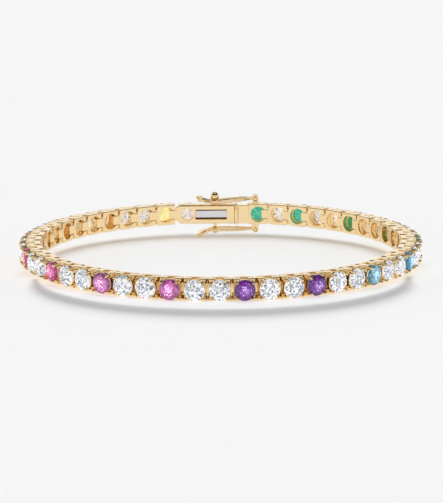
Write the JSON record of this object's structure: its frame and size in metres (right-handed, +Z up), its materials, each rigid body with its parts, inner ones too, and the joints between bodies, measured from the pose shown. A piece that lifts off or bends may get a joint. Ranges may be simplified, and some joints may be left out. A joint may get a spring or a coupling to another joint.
{
  "type": "tennis bracelet",
  "caption": "Gold tennis bracelet of hinged four-prong links with round white and rainbow coloured stones, a box clasp and two figure-eight safety catches.",
  "frame": {"origin": "on the floor, under the centre of the bracelet's bounding box", "axes": "+Z up, the way the wrist goes through the ring; +Y from the front links to the clasp; +X to the right seen from the front"},
  "size_m": [0.0624, 0.0614, 0.0075],
  "materials": {
    "yellow_gold": "polished yellow gold",
    "white_spring_metal": "plain white metal",
    "white_stone": "faceted, clear white",
    "green_stone": "faceted, emerald green"
  },
  "bodies": {
    "bracelet": {"links_right": "yellow_gold", "links_left": "yellow_gold", "clasp_box": "yellow_gold", "clasp_tongue": "yellow_gold", "spring_blade": "white_spring_metal", "box_stone_1": "white_stone", "box_stone_2": "white_stone", "box_stone_3": "white_stone", "tongue_stone": "green_stone"},
    "upper_catch": {"upper_safety": "yellow_gold"},
    "lower_catch": {"lower_safety": "yellow_gold"}
  },
  "joints": [
    {"name": "upper_catch_hinge", "type": "hinge", "parent": "bracelet", "child": "upper_catch", "pos_m": [0.0059, 0.02842, 0.00648], "axis": [0, 0.9992, 0.0408], "range_deg": [0, 120]},
    {"name": "lower_catch_hinge", "type": "hinge", "parent": "bracelet", "child": "lower_catch", "pos_m": [0.0059, 0.02863, 0.00142], "axis": [0, -0.9992, -0.0408], "range_deg": [0, 120]}
  ]
}
